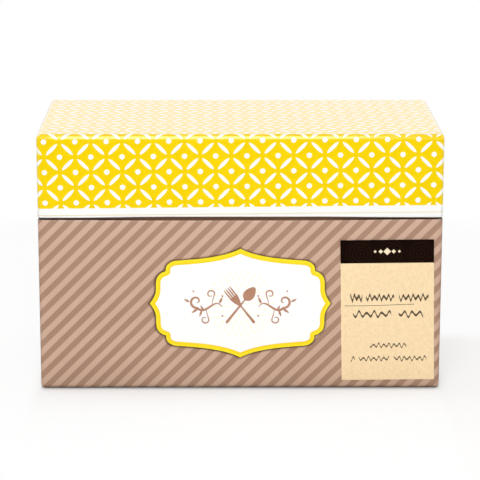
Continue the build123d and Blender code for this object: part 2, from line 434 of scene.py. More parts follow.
def paper_finish(shader, colour, grain, roughness, swing, bump=0.4, depth=0.03, gloss=0.3, **more):
    """What all papers share: a colour that swings with its tone, a roughness, and felt marks with
    their depth in millimetres. More of the shader's inputs are given by name."""
    tree = shader.id_data
    shade = ramped(grain["Tone"], *tone_band, 1.0 - swing, 1.0 + swing / 3)
    rougher = roughness * rough_swing
    rough = ramped(grain["Tone"], *tone_band, roughness - rougher, roughness + rougher)
    felt_marks = wire(tree, "Bump")
    feed(felt_marks.node, strength=bump, distance=depth * mm, height=grain["Height"])
    more |= {"roughness": rough, "normal": felt_marks, "specular_ior_level": gloss}
    feed(shader, base_color=scaled(tree, colour, shade), **more)


def shares(steps, first=0):
    """Even shares up to 1, from 0 or a later step on."""
    return [step / steps for step in range(first, steps + 1)]


def eased(share):
    """A share from 0 to 1 that starts and ends gently."""
    return share * share * (3 - 2 * share)


def along_side(low, high, margin, share):
    """A place along a side panel, which stops short of the tray's ends by a margin."""
    length = high.y - low.y - 2 * (margin + seam_from_corner)
    return (low.y + high.y) / 2 + length * (share - 0.5)


def tray_ring(low, high, inset, tightest):
    """The points round a tray at one inset, each with its outward direction, its share of ear,
    its share of corner, its panel and its distance along that panel."""
    radius = max(edge_radius - inset, tightest)
    reach = inset + radius
    half = high.x - reach
    flat_half = high.x - edge_radius
    arm = [(1.0, seam_from_corner)] + [(share, 0.0) for share in shares(corner_steps)[::-1]]
    runs = {}
    for panel, end, facing in (("front", low.y, -1), ("back", high.y, 1)):
        side = []
        for share, past in arm:
            turn = quarter_turn * share
            x = half + radius * math.sin(turn)
            y = end - facing * (reach - radius * math.cos(turn) + past)
            normal = (math.sin(turn), facing * math.cos(turn))
            along = flat_half + edge_radius * turn + past
            side.append((x, y, *normal, eased(share), math.sin(2 * turn), panel, along))
        middle = []
        for share in shares(front_steps, 1)[:-1]:
            way = 1 - 2 * share
            y = end - facing * inset
            middle.append((way * half, y, 0, facing, 0, 0, panel, way * flat_half))
        other_side = [(-x, y, -nx, *rest, -along) for x, y, nx, *rest, along in side]
        runs[panel] = side + middle + other_side[::-1]
    right_run = []
    left_run = []
    for share in shares(side_steps):
        y = along_side(low, high, reach, share)
        along = along_side(low, high, edge_radius, share)
        right_run.append((high.x - inset, y, 1, 0, 0, 0, "right", along))
        left_run.append((low.x + inset, y, -1, 0, 0, 0, "left", along))
    return runs["front"][::-1] + right_run + runs["back"] + left_run[::-1]


def folded(side, centre, radius, first, steps, run):
    """The rows of a section round a fold of the sheet, from an angle on, by its middle's inset
    and level: inset, level, normal outwards and upwards, paper distance, ear, fold."""
    rows = []
    for share in shares(steps):
        turn = quarter_turn * share
        normal = Vector((math.cos(first - turn), side * math.sin(first - turn)))
        spot = (centre[0] - radius * normal.x, centre[1] + radius * normal.y)
        rows.append((*spot, *normal, run + radius * turn, share**2, math.sin(2 * turn)))
    return rows


def tray_profile(closed, rim, under):
    """The sheet's section from the closed face round the edge, down the wall, over the rim and
    inside. Its rows are those of a fold, with the tightest corner that the sheet takes there."""
    side = 1 if closed > rim else -1
    rows = []
    for share in shares(4)[:-1] if under else ():
        inset = under_turn + (edge_radius - under_turn) * share
        rows.append((inset, closed, 0, side, edge_radius - inset, 0, 0))
    edge_middle = (edge_radius, closed - side * edge_radius)
    rows += folded(side, edge_middle, edge_radius, quarter_turn, corner_steps, 0.0)
    rows = [(*row, edge_tightest) for row in rows]
    run = edge_radius * quarter_turn
    wall = abs(closed - rim) - edge_radius - rim_fold_radius
    past_edge = []
    for share in shares(8, 1):
        level = closed - side * (edge_radius + wall * share)
        past_edge.append((0, level, 1, 0, run + wall * share, 1, 0))
    run += wall
    level = rim + side * rim_fold_radius
    past_edge += folded(side, (rim_fold_radius, level), rim_fold_radius, 0.0, 6, run)[1:]
    run += rim_fold_radius * quarter_turn + rim_wall - 2 * rim_fold_radius
    middle = (rim_wall - rim_fold_radius, level)
    past_edge += folded(side, middle, rim_fold_radius, -quarter_turn, 4, run)
    run += rim_fold_radius * quarter_turn
    for share in shares(4, 1):
        up = (turn_in - rim_fold_radius) * share
        past_edge.append((rim_wall, level + side * up, -1, 0, run + up, 1, 0))
    return rows + [(*row[:5], 1, row[6], inner_corner_radius) for row in past_edge]


def bowed(x, y, low, high, ends):
    """How far the front rim stands off its line towards the other tray, most near the corners."""
    end = ends[1] if x > 0 else ends[0]
    share = min(max((abs(x) / high.x - bow_start) / bow_reach, 0.0), 1.0)
    return end * mm * eased(share) * (high.y - y) / (high.y - low.y)


def wrapped_tray(name, paper, low, high, closed_up, wall, ends):
    """The paper on one tray, with its place on the flat sheet, its folds and its rim kept on it."""
    side = 1 if closed_up else -1
    closed, rim = (high.z, low.z) if closed_up else (low.z, high.z)
    at_rim = edge_radius * quarter_turn + (high.z - low.z) - edge_radius
    wall_end = at_rim - rim_fold_radius
    edge_line = closed - side * edge_radius * (1 - quarter_turn)
    flat_depth = high.y - low.y - 2 * edge_radius
    flat_half = high.x - edge_radius
    middle = (low.y + high.y) / 2
    sheet = bmesh.new()
    prints = sheet.loops.layers.uv.new("print")
    rims = sheet.loops.layers.uv.new("rim")
    past_wall = sheet.verts.layers.float.new("past_wall")
    folds = sheet.verts.layers.float.new("fold")
    grid = []
    for inset, level, *normal, run, ear_row, fold_row, tightest in tray_profile(closed, rim, side < 0):
        inset = inset * wall / rim_wall if run > at_rim else inset
        ring = []
        for x, y, nx, ny, ear, corner, panel, along in tray_ring(low, high, inset, tightest):
            off = bowed(x, y, low, high, ends) if run > wall_end - row_slack else 0.0
            outwards = Vector((nx * normal[0], ny * normal[0], normal[1]))
            spot = Vector((x, y, level - side * off)) - sheet_thickness * ear * ear_row * outwards
            vertex = sheet.verts.new(spot)
            vertex[past_wall] = max(run - wall_end, 0.0) / mm
            vertex[folds] = max(fold_row, corner * ear_row)
            reach = run + off
            facing = -1 if panel in ("back", "left") else 1
            if panel == "front":
                on_sheet = (along, edge_line - side * reach)
            elif panel == "back":
                on_sheet = (along, edge_line + side * (flat_depth + reach))
            else:
                from_edge = along - low.y - edge_radius
                on_sheet = ((flat_half + reach) * facing, edge_line + side * from_edge)
                along -= middle
            by_rim = (along * facing, at_rim - reach)
            ring.append((vertex, panel, Vector(on_sheet) / mm, Vector(by_rim) / mm))
        grid.append(ring)
    count = len(grid[0])
    for upper, lower in zip(grid, grid[1:]):
        for index in range(count):
            after = (index + 1) % count
            quad = [upper[index], lower[index], lower[after], upper[after]]
            if side < 0:
                quad.reverse()
            face = sheet.faces.new([corner[0] for corner in quad])
            face.smooth = True
            panels = {corner[1] for corner in quad}
            flap = next((p for p in panels if p in ("left", "right")), None)
            for loop, corner in zip(face.loops, quad):
                if len(panels) == 2 and corner[1] != flap:
                    row = upper if corner in upper else lower
                    corner = row[after] if row[after][1] == flap else row[index]
                loop[prints].uv = corner[2]
                loop[rims].uv = corner[3]
    if closed_up:
        far_from_rim = (0.0, 100.0)
        top = sheet.faces.new([corner[0] for corner in grid[0]])
        for loop in top.loops:
            on_sheet = (loop.vert.co.x, edge_line + loop.vert.co.y - low.y - edge_radius)
            loop[prints].uv = Vector(on_sheet) / mm
            loop[rims].uv = far_from_rim
    return shown(name, sheet, paper, sharp=35, thickness=sheet_thickness)


striped_paper, tree, shader = shader_tree("striped_paper")
across, up = printed_place(tree)
turns = (across - up - stripe_start) / stripe_period
dark_share = ramped(abs(turns.maths("FRACT") - 0.5), *stripe_edge)
colour = worn(tree, mixed(dark_share, stripe_light, stripe_dark), stripe_worn)
# Painted shade on the rim's turn-in: past the top of the wall the stripes give way to a darker brown,
# nearly black towards the ends.
from_middle = abs(parts(object_place(tree))[0])
turned = mixed(ramped(from_middle, *deep_shade_ends), rim_painted_shade, rim_painted_deep_shade)
colour = mixed(ramped(carried(tree, "past_wall"), *turned_band), colour, turned)
grain = grained(tree, 0.35, 14.0)
film = {"gloss": 0.5, "ior": 1.4, "coat_weight": 0.3, "coat_roughness": 0.2}
paper_finish(shader, colour, grain, roughness=0.42, swing=0.05, bump=0.25, depth=0.02, **film)

base_low, base_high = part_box("base_wrap")
base_wrap = wrapped_tray(
    "striped_base_wrap", striped_paper, base_low, base_high, False, base_rim_wall, front_rise
)
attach(base_wrap, "base")
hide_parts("base_wrap")

# Lid wrap: a cross-shaped sheet of the same art paper, printed yellow with a white trellis of
# petals and dots. The print stops a few millimetres above the rim, a little out of level,
# and leaves a white border with one thin cream line.
lid_rim_wall = 2.0 * mm
front_drop = (0.45, 0.3)
trellis_pitch = 13.743
trellis_start = (-86.44, 99.93)
trellis_slope = math.sin(math.radians(0.43))
petal_length = 7.2
petal_width = 1.57
petal_taper = 3.0
dot_diameter = 2.36
border_height = 4.48
border_slope = math.sin(math.radians(0.52))
cream_line_height = 1.35
cream_line_width = 0.5
lid_yellow = ink(254, 218, 0)
lid_white = ink(255, 255, 252)
lid_cream = ink(243, 236, 208)
lid_worn = ink(250, 244, 214)


def inked(depth, soft=0.05):
    """1 inside a printed shape, by the depth past its edge and how soft the edge is."""
    return ramped(depth, -soft, soft)


labels = ("Across", "Up", "Pitch", "Petal length", "Petal width", "Dot")
trellis, taken, given = new_group("trellis", labels, ("Mask",))
across = taken["Across"] / taken["Pitch"]
up = taken["Up"] / taken["Pitch"]
unit = taken["Pitch"] / math.sqrt(2)
halves = [abs(way - way.maths("ROUND")) * unit for way in (across + up, across - up)]
shapes = [taken["Dot"] * 0.5 - distance(*halves)]
for off, along in (halves, halves[::-1]):
    taper = 1.0 - (along * 2.0 / taken["Petal length"]) ** petal_taper
    shapes.append(taken["Petal width"] * 0.5 * taper - (unit * 0.5 - off))
feed(given, mask=most(*[inked(shape, 0.04) for shape in shapes]))

trellis_paper, tree, shader = shader_tree("trellis_paper")
across, up = printed_place(tree)
across = across - trellis_start[0]
up = up - trellis_start[1]
white_share = placed(
    tree,
    trellis,
    across=up * trellis_slope + across,
    up=up - across * trellis_slope,
    pitch=trellis_pitch,
    petal_length=petal_length,
    petal_width=petal_width,
    dot=dot_diameter,
)["Mask"]
around, above_rim = printed_place(tree, "rim")
level = above_rim - around * border_slope
from_cream = abs(level - cream_line_height)
colour = mixed(white_share, lid_yellow, lid_white)
colour = mixed(inked(border_height - level, 0.04), colour, lid_white)
colour = mixed(inked(cream_line_width / 2 - from_cream, 0.08), colour, lid_cream)
colour = worn(tree, colour, lid_worn)
grain = grained(tree, 0.35, 14.0)
film = {"gloss": 0.5, "ior": 1.5, "coat_weight": 0.5, "coat_ior": 1.5, "coat_roughness": 0.06}
paper_finish(shader, colour, grain, roughness=0.14, swing=0.03, bump=0.08, depth=0.01, **film)

lid_low, lid_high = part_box("lid_wrap")
lid_wrap = wrapped_tray(
    "trellis_lid_wrap", trellis_paper, lid_low, lid_high, True, lid_rim_wall, front_drop
)
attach(lid_wrap, "lid")
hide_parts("lid_wrap")

# Boards and bottom sheet: grey recycled board inside both trays, cut and glued at the corners,
# and plain brown paper under the floor. They keep the shapes that the frame gives them.


def flecked(tree, colour, fleck_colour, cells, edge):
    """A colour with flecks of another, cells to the metre, as large as their edge says."""
    flecks = wire(tree, "TexVoronoi", object_place(tree), None, cells)
    return mixed(ramped(flecks, *edge), colour, fleck_colour)


def plain_stock(name, colour, raised, grain_size, cloud_size, **finish):
    """Paper or card in one colour, a shade lighter where its felt marks stand up."""
    made, tree, shader = shader_tree(name)
    grain = grained(tree, grain_size, cloud_size)
    paper_finish(shader, mixed(grain["Height"], ink(*colour), ink(*raised)), grain, **finish)
    return made


def dress(material, *nodes):
    """Gives CAD pieces that keep their shape their finish."""
    for name in nodes:
        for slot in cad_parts[name].material_slots:
            slot.material = material


greyboard, tree, shader = shader_tree("greyboard")
colour = flecked(tree, ink(150, 140, 128), ink(108, 98, 90), 900.0, (0.18, 0.05))
grain = grained(tree, 0.7, 6.0)
paper_finish(shader, colour, grain, roughness=0.85, swing=0.15, bump=0.5, depth=0.05, gloss=0.2)
browns = ((170, 132, 108), (184, 147, 122))
brown_paper = plain_stock("plain_brown_paper", *browns, 0.3, 10.0, roughness=0.6, swing=0.08)
dress(greyboard, "base_board", "lid_board")
dress(brown_paper, "base_bottom_sheet")

# Neck, liner and inner sheets: brown card folded round the inside of the base, white card
# round the lid, and white paper on the floor and under the ceiling. None of them is glossy.
whites = ((246, 244, 239), (252, 251, 248))
white_card = plain_stock("white_card", *whites, 0.4, 12.0, roughness=0.62, swing=0.04)
whites = ((243, 241, 236), (250, 249, 246))
finish = {"roughness": 0.7, "swing": 0.05, "bump": 0.5, "gloss": 0.25}
white_lining = plain_stock("white_lining", *whites, 0.25, 8.0, **finish)
browns = ((140, 103, 80), (152, 113, 89))
brown_card = plain_stock("brown_card", *browns, 0.4, 12.0, roughness=0.6, swing=0.08, gloss=0.25)
dress(brown_card, "neck")
dress(white_card, "lid_liner")
dress(white_lining, "floor_mat", "ceiling_sheet")

# Paper hinge: one strip of brown paper across the back, half on the base and half on the lid,
# and one white lining inside, which goes over both rims. Both bend at the seam.
strip_thickness = 0.2 * mm
strip_stand_in = 0.03 * mm
strip_steps = 90
hinge_dip = 0.1 * mm
dip_reach = 0.7 * mm
lining_thickness = 0.18 * mm
lining_fold_radius = 0.25 * mm


def heading(points, index):
    """The direction in which a line of points runs at one of them."""
    before = Vector(points[max(index - 1, 0)])
    after = Vector(points[min(index + 1, len(points) - 1)])
    return (after - before).normalized()


def joined(mesh, rows, closed=True):
    """The faces between neighbouring rows of corners, which close round or stay open."""
    made = []
    for near, far in zip(rows, rows[1:]):
        for index in range(len(near) if closed else len(near) - 1):
            after = (index + 1) % len(near)
            made.append(mesh.faces.new((near[index], near[after], far[after], far[index])))
    return made


def bent_sheet(name, material, path, thickness, half_width, steps):
    """A sheet that follows a path in the upright plane, with its thickness on the path's right."""
    made = bmesh.new()
    rows = []
    across = [half_width * (2 * share - 1) for share in shares(steps)]
    for index, (y, z) in enumerate(path):
        run = heading(path, index)
        over = (y + run.y * thickness, z - run.x * thickness)
        near = [made.verts.new((x, y, z)) for x in across]
        rows.append(near + [made.verts.new((x, *over)) for x in reversed(across)])
    for face in joined(made, rows):
        face.smooth = True
    for row in (rows[0], rows[-1]):
        for step in range(steps):
            made.faces.new((row[step], row[step + 1], row[-step - 2], row[-step - 1]))
    bmesh.ops.recalc_face_normals(made, faces=made.faces)
    return shown(name, made, material, sharp=50)


def softened(points, radius, steps=5):
    """A path with its inner corners rounded."""
    path = [points[0]]
    for before, corner, after in zip(points, points[1:], points[2:]):
        middle = Vector(corner)
        first = middle + (Vector(before) - middle).normalized() * radius
        last = middle + (Vector(after) - middle).normalized() * radius
        for t in shares(steps):
            path.append(tuple((1 - t) ** 2 * first + 2 * t * (1 - t) * middle + t * t * last))
    path.append(points[-1])
    return path


strip_low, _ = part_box("hinge_strip_base")
_, strip_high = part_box("hinge_strip_lid")
seam_low, seam_high = base_high.z, lid_low.z
strip_path = []
for share in shares(strip_steps):
    z = strip_low.z + (strip_high.z - strip_low.z) * share
    from_seam = (z - (seam_low + seam_high) / 2) / dip_reach
    strip_path.append((strip_low.y + strip_stand_in - hinge_dip * math.exp(-(from_seam**2)), z))
hinge_strip = bent_sheet(
    "paper_hinge_strip", brown_paper, strip_path, strip_thickness, strip_high.x, 24
)
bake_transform(hinge_strip)
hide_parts("hinge_strip_base", "hinge_strip_lid")

base_lining_low, base_lining_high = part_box("hinge_lining_base")
lid_lining_low, lid_lining_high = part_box("hinge_lining_lid")
turned_y = base_lining_high.y - lining_thickness
lining_corners = [
    (base_lining_low.y, base_lining_low.z),
    (base_lining_low.y, base_lining_high.z),
    (turned_y, base_lining_high.z),
    (turned_y, lid_lining_low.z),
    (lid_lining_low.y, lid_lining_low.z),
    (lid_lining_low.y, lid_lining_high.z),
]
lining_path = softened(lining_corners, lining_fold_radius)
hinge_lining = bent_sheet(
    "paper_hinge_lining", white_lining, lining_path, lining_thickness, base_lining_high.x, 12
)
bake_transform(hinge_lining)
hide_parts("hinge_lining_base", "hinge_lining_lid")

# Name plaque: die-cut white card on the middle of the front, with a yellow border printed to
# its edge. Crossed spoon and fork between scrolls are printed on it in brown, over a pale flower.
plaque_low, plaque_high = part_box("name_plaque")
plaque_centre = (plaque_low + plaque_high) / 2
plaque_half = (plaque_high - plaque_low) / 2
plaque_border = 2.05 * mm
plaque_chamfer = 0.08 * mm
ink_thickness = 0.012 * mm
weld = 0.002 * mm
petal_edge = (-0.05, 0.1)
gold_band = (0.3, 0.75)
plaque_yellow = ink(255, 230, 28)
plaque_gold = ink(254, 220, 14)
plaque_white = ink(255, 255, 254)
flower_yellow = ink(255, 253, 234)

# Each stretch of a quarter of the outline, as shares of the plaque's half width and height
plaque_quarter = (
    ((0, 1), (0.17, 0.85), (0.44, 0.811), (0.69, 0.785)),
    ((0.69, 0.785), (0.77, 0.778), (0.829, 0.709), (0.822, 0.59)),
    ((0.822, 0.59), (0.888, 0.559), (0.931, 0.496), (0.931, 0.354)),
    ((0.931, 0.354), (0.931, 0.323), (0.931, 0.291), (0.931, 0.26)),
    ((0.931, 0.26), (0.931, 0.165), (0.963, 0.079), (1, 0)),
)
# Rings of the printed flower: how many petals, how far out, and half their length and width
flower_rings = (
    (9, 3.2, 1.2, 0.42),
    (15, 6.0, 1.3, 0.45),
    (21, 8.9, 1.3, 0.45),
    (27, 11.7, 1.3, 0.45),
    (33, 14.4, 1.2, 0.42),
)
notch_after = 1
notch_steps = 8
stretch_steps = 18


def bezier(points, steps):
    """Points along a cubic curve, its first point left out."""
    a, b, c, d = (Vector(p) for p in points)
    ways = [(1 - t, t) for t in shares(steps, 1)]
    return [s**3 * a + 3 * s * s * t * b + 3 * s * t * t * c + t**3 * d for s, t in ways]


def left_of(run):
    """The direction to the left of a run."""
    return Vector((-run.y, run.x))


def plaque_ring(inset):
    """The plaque's outline, moved inwards by a distance, clockwise from the top."""
    stretches = []
    for stretch in plaque_quarter:
        shape = [Vector((x * plaque_half.x, z * plaque_half.z)) for x, z in stretch]
        stretches.append([shape[0]] + bezier(shape, stretch_steps))
    moved = []
    for number, points in enumerate(stretches):
        for index, point in enumerate(points):
            moved.append(point - left_of(heading(points, index)) * inset)
        if number == notch_after:
            before = left_of(heading(points, stretch_steps))
            turn = before.angle_signed(left_of(heading(stretches[number + 1], 0)))
            for share in shares(notch_steps, 1)[:-1]:
                aside = Matrix.Rotation(-turn * share, 2) @ before
                moved.append(points[-1] - aside * inset)
    for axis in (0, 1):
        first = next(index for index, point in enumerate(moved) if point[axis] > 1e-6)
        near, far = (moved[0], moved[1]) if first == 0 else (moved[first - 1], moved[first])
        tip = near + (far - near) * (near[axis] / (near[axis] - far[axis]))
        moved = [tip] + [tip if index < first else p for index, p in enumerate(moved)]
        moved.reverse()
    outline = []
    for right, up, order in ((1, 1, 1), (1, -1, -1), (-1, -1, 1), (-1, 1, -1)):
        outline += [Vector((p.x * right, p.y * up)) for p in moved[::order]]
    return outline


plaque_mesh = bmesh.new()
inward = plaque_mesh.verts.layers.float.new("inward")
plaque_face_y = plaque_low.y + ink_thickness
plaque_rings = []
for inset, y in (
    (0.0, plaque_high.y),
    (0.0, plaque_face_y + plaque_chamfer),
    (plaque_chamfer, plaque_face_y),
    (plaque_border, plaque_face_y),
):
    spots = [(plaque_centre.x + p.x, y, plaque_centre.z + p.y) for p in plaque_ring(inset)]
    plaque_rings.append([plaque_mesh.verts.new(spot) for spot in spots])
    for vertex in plaque_rings[-1]:
        vertex[inward] = inset / plaque_border
for face in joined(plaque_mesh, plaque_rings):
    face.material_index = 1
plaque_mesh.faces.new(plaque_rings[0])
plaque_mesh.faces.new(plaque_rings[-1][::-1])
bmesh.ops.remove_doubles(plaque_mesh, verts=plaque_mesh.verts, dist=weld)
bmesh.ops.recalc_face_normals(plaque_mesh, faces=plaque_mesh.faces)

plaque_card, tree, shader = shader_tree("plaque_card")
across, _, up = parts(object_place(tree))
across = across * (1 / mm) - plaque_centre.x / mm
up = up * (1 / mm) - plaque_centre.z / mm
radius = distance(across, up)
angle = up.maths("ARCTAN2", across)
petals = []
for count, middle, reach, width in flower_rings:
    spacing = 2 * math.pi / count
    turned = angle / spacing
    aside = abs(turned - turned.maths("ROUND")) * spacing * radius
    taper = 1.0 - ((radius - middle) / reach) ** 2
    petals.append(ramped(taper * width - aside, *petal_edge))
colour = mixed(most(petals[0], *petals[1:], 0.0), plaque_white, flower_yellow)
grain = grained(tree, 0.3, 12.0)
paper_finish(shader, colour, grain, roughness=0.5, swing=0.02, bump=0.2, depth=0.02)

plaque_edge, tree, shader = shader_tree("plaque_yellow_border")
inner_share = ramped(carried(tree, "inward"), *gold_band)
colour = mixed(inner_share, plaque_yellow, plaque_gold)
grain = grained(tree, 0.3, 12.0)
paper_finish(shader, colour, grain, roughness=0.5, swing=0.03, bump=0.2, depth=0.02)
name_plaque = shown("die_cut_plaque", plaque_mesh, plaque_card, plaque_edge)
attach(name_plaque, "base")
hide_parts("name_plaque")

# Plaque's shadow: a painted shadow, a soft dark line on the base's paper round the plaque, a little
# towards the left and below, so that most of it shows there.
plaque_shadow_shift = Vector((-0.12, -0.1)) * mm
line_height = 0.006 * mm
line_film = 0.004 * mm
plaque_shadow_brown = ink(78, 40, 36)

# How far outside the plaque the painted shadow is measured, in millimetres, and its strength there
plaque_shadow_strengths = ((-0.6, 0.42), (0.0, 0.42), (0.25, 0.32), (0.5, 0.2), (0.8, 0.1), (1.3, 0.0))


def face_front(mesh):
    """Turns every face of a flat sheet, a print or the painted shadow, towards the box's front."""
    for face in mesh.faces:
        face.normal_update()
        if face.normal.y > 0:
            face.normal_flip()


line_mesh = bmesh.new()
strength = line_mesh.verts.layers.float.new("strength")
line_rings = []
for outside, dark in plaque_shadow_strengths:
    ring = []
    for point in plaque_ring(0.0):
        x = plaque_centre.x + point.x * (1 + outside * mm / plaque_half.x) + plaque_shadow_shift.x
        z = plaque_centre.z + point.y * (1 + outside * mm / plaque_half.z) + plaque_shadow_shift.y
        vertex = line_mesh.verts.new((x, base_low.y - line_height, z))
        vertex[strength] = dark
        ring.append(vertex)
    line_rings.append(ring)
joined(line_mesh, line_rings)
bmesh.ops.remove_doubles(line_mesh, verts=line_mesh.verts, dist=weld)
face_front(line_mesh)
# Painted shadow: dark brown, whose strength fades outwards from the plaque's edge.
plaque_shadow_ink, tree, shader = shader_tree("soft_line_ink")
dark_share = carried(tree, "strength")
feed(shader, base_color=plaque_shadow_brown, roughness=0.6, specular_ior_level=0.1, alpha=dark_share)
plaque_shadow_sheet = shown("plaque_line_print", line_mesh, plaque_shadow_ink, thickness=line_film)
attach(plaque_shadow_sheet, "base")

# Ornament: a crossed spoon and fork between two scrolls with leaves and dots, printed in brown
# ink on the plaque. It is drawn in millimetres from the plaque's middle.
ornament_height = -0.9
stroke_step = 0.0005 * mm
stroke_heights = 11
tool_tilt = math.radians(52)
spoon_length = 21.0
fork_length = 15.6
fork_shift = 2.7
tine_offsets = (-1.55, -0.52, 0.52, 1.55)
tine_length = 5.2
tine_overlap = 0.3
leaf_taper = 0.8
tine_widths = (0.72, 0.72, 0.72, 0.7, 0.68, 0.64, 0.58, 0.45, 0.2)
least_width = 0.05
handle_thick = 1.3
handle_round = 0.04
neck_thick = 0.7
spoon_neck = 0.66
bowl_share = 0.34
bowl_swell = 4.3
fork_neck = 0.6
fork_swell = 3.2
stem_widths = (0.35, 0.75)
shoot_widths = (0.26, 0.4)
lower_shift = (2.6, -1.2)
dots = ((8.0, 4.4, 0.9), (8.0, -4.8, 0.9), (21.0, 6.6, 0.8))
stem_curve = ((8.2, -0.6), (11.5, 4.6), (15.2, -5.2), (19.3, -1.2))
shoot_curve = ((12.6, 0.6), (12.4, 4.4), (10.2, 6.0), (12.8, 6.9))

# Curls: centre, first angle, turn at each step, steps, radius, how it tightens, and up or down
stem_curl = ((19.6, 1.9), 0.05, 0.26, 24, 3.1, 0.42, -1)
shoot_curl = ((13.2, 5.2), 0.1, 0.36, 12, 1.75, 0.27, 1)

# Leaves: root, degrees, length and width
leaves = (
    (9.4, 0.9, 115, 3.4, 1.1),
    (17.2, -2.2, -70, 3.2, 1.0),
    (19.0, -1.5, -35, 3.6, 1.1),
    (22.7, 1.6, 30, 3.0, 1.0),
    (16.4, -2.4, 60, 3.0, 0.9),
)


def brush(drawing, points, widths):
    """A brush stroke along points, as wide at each as the widths say, a hair behind or in front
    of its neighbours so that crossings stay clean."""
    behind = len(drawing.verts) % stroke_heights * stroke_step
    rows = []
    for index, (point, width) in enumerate(zip(points, widths)):
        aside = left_of(heading(points, index)) * width / 2
        sides = (point + aside, point - aside)
        rows.append([drawing.verts.new((p.x * mm, behind, p.y * mm)) for p in sides])
    joined(drawing, rows, closed=False)


def curl(centre, start, turn, count, radius, tightening, up):
    """Points round a centre, closer at each step, that start above it or, with up -1, below."""
    points = []
    for angle in [start + turn * step for step in range(count)]:
        way = Vector((math.sin(angle), up * math.cos(angle)))
        points.append(Vector(centre) + way * (radius - tightening * angle))
    return points


def handle_width(share, neck):
    """A tool's width along its handle, from a round end to a thinner neck."""
    if share < handle_round:
        return handle_thick * math.sqrt(max(share / handle_round, 0.02))
    way = (share - handle_round) / (neck - handle_round)
    return handle_thick + (neck_thick - handle_thick) * way


def spoon_width(share):
    """A spoon's width from the handle's end to the tip of the bowl."""
    if share < spoon_neck:
        return handle_width(share, spoon_neck)
    bowl = (share - spoon_neck) / bowl_share
    if bowl >= 1:
        return least_width
    return neck_thick + bowl_swell * math.sin(math.pi * bowl**0.75) ** 0.7


def fork_width(share):
    """A fork's width from the handle's end to the root of the tines."""
    if share < fork_neck:
        return handle_width(share, fork_neck)
    widening = math.sin(quarter_turn * (share - fork_neck) / (1 - fork_neck)) ** 1.5
    return neck_thick + fork_swell * widening


def tool_stroke(width_at, length, steps, way):
    """The points and widths of a handle and head, laid along a line through the middle."""
    points = [way * length * (share - 0.5) for share in shares(steps)]
    return points, [width_at(share) for share in shares(steps)]


drawing = bmesh.new()
way = Vector((math.cos(tool_tilt), math.sin(tool_tilt)))
points, widths = tool_stroke(spoon_width, spoon_length, 60, way)
brush(drawing, points, [max(width, least_width) for width in widths])
way = Vector((-math.cos(tool_tilt), math.sin(tool_tilt)))
points, widths = tool_stroke(fork_width, fork_length, 40, way)
points = [point - way * fork_shift for point in points]
brush(drawing, points, widths)
for offset in tine_offsets:
    start = points[-1] - way * tine_overlap - left_of(way) * offset
    tine = [start + way * tine_length * share for share in shares(len(tine_widths) - 1)]
    brush(drawing, tine, tine_widths)
stem = [Vector(stem_curve[0])] + bezier(stem_curve, 24)
stem += curl(*stem_curl)
shoot = [Vector(shoot_curve[0])] + bezier(shoot_curve, 12)
shoot += curl(*shoot_curl)
lower_shoot = [Vector((p.x + lower_shift[0], lower_shift[1] - p.y)) for p in shoot]
scroll = []
for path, thin, more in ((stem, *stem_widths), (shoot, *shoot_widths), (lower_shoot, *shoot_widths)):
    swell = [math.sin(math.pi * share) for share in shares(len(path) - 1)]
    scroll.append((path, [thin + more * width for width in swell]))
for x, z, degrees, length, width in leaves:
    way = Matrix.Rotation(math.radians(degrees), 2) @ Vector((length, 0))
    points = [Vector((x, z)) + way * share for share in shares(12)]
    swell = [math.sin(math.pi * share**leaf_taper) for share in shares(12)]
    scroll.append((points, [width * share + 0.02 for share in swell]))
for x, z, size in dots:
    across = [size * (share - 0.5) for share in shares(8)]
    widths = [2 * math.sqrt(max(size**2 / 4 - off**2, 0.0001)) for off in across]
    scroll.append(([Vector((x + off, z)) for off in across], widths))
for flip in (1, -1):
    for path, widths in scroll:
        brush(drawing, [Vector((p.x * flip, p.y)) for p in path], widths)
face_front(drawing)
for vertex in drawing.verts:
    vertex.co += Vector((plaque_centre.x, plaque_low.y, plaque_centre.z + ornament_height * mm))
browns = ((178, 128, 102), (190, 141, 114))
finish = {"roughness": 0.5, "swing": 0.05, "bump": 0.2, "depth": 0.01}
brown_ink = plain_stock("brown_ink", *browns, 0.25, 6.0, **finish)
plaque_print = shown("plaque_ornament_print", drawing, brown_ink, thickness=ink_thickness)
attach(plaque_print, "base")

# Front label: kraft-look paper stuck on by hand, a little crooked, with its corners just
# lifting. Printed on it: a dark brown band with a pale pattern and five diamonds across the
# top, and wavy lines with one underline where words would go.
label_low, label_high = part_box("front_label")
label_rise = math.radians(0.57)
label_tilt = math.radians(1.24)
label_height = 65.0
label_slack = 0.39
label_width = (label_high.x - label_low.x) / mm - label_height * math.sin(label_tilt) + label_slack
label_centre = (label_low + label_high) / 2
label_band = 10.65
label_edge = 0.08
label_lift = 0.22 * mm
label_ripple = 0.02 * mm
ripple_across = 0.35
ripple_up = 0.11
firm_corner = 0.45
label_sheet_thickness = 0.1 * mm
band_rings = (-12.0, 1.5, 15.0)
ring_drop = 1.0
ring_rate = 4.2
ring_edge = (0.1, 0.6)
ring_reach = (6.6, 6.2)
band_diamonds = ((-5.4, 0.7), (-2.9, 1.0), (0.0, 1.7), (2.9, 1.0), (5.4, 0.7))
kraft_band = (0.35, 0.65)
line_strength = 0.92
drift_rate = 2.9
drift_share = 0.3
steepest = 4.4
band_brown = ink(20, 7, 2)
ring_brown = ink(36, 17, 8)
diamond_cream = ink(246, 230, 196)
kraft_light = ink(251, 225, 182)
kraft_dark = ink(248, 221, 178)
kraft_fleck = ink(214, 176, 124)
rule_ink = ink(62, 48, 36)

